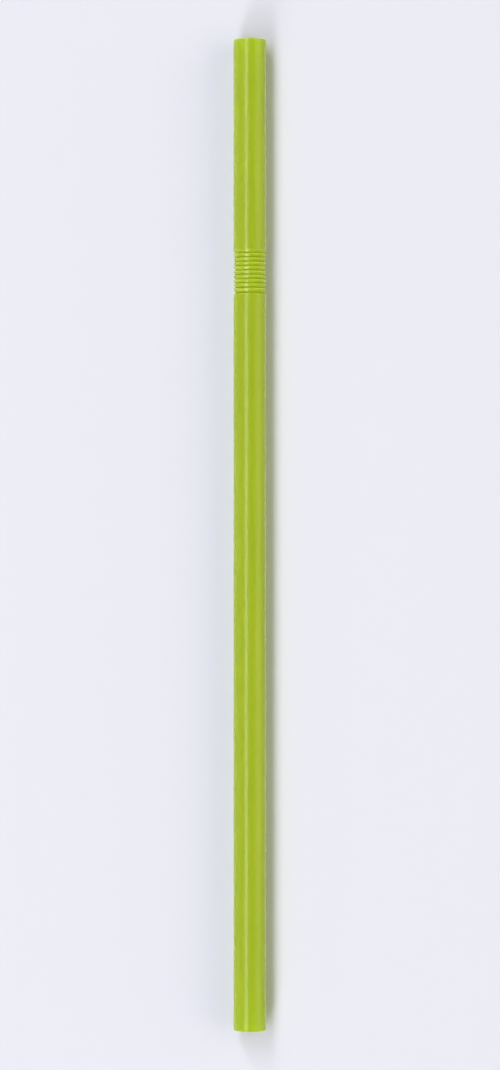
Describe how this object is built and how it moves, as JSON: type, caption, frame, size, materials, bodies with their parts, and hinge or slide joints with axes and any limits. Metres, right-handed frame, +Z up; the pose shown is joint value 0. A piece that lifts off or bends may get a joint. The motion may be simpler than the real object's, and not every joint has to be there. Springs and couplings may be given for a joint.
{
  "type": "plastic drinking straw",
  "caption": "Flexible plastic drinking straw: a thin-walled round tube with a pressed-in band of hairpin folds near the mouth end, folds pushed together.",
  "frame": {"origin": "on the surface that the straw lies on, under the middle of its length, at the centre of the bottom of its bounding box", "axes": "+X along the straw towards the mouth end, +Z up, +Y across it"},
  "size_m": [0.24, 0.008, 0.008],
  "materials": {
    "straw_plastic": "gloss"
  },
  "bodies": {
    "root": {"straw": "straw_plastic"}
  },
  "joints": []
}
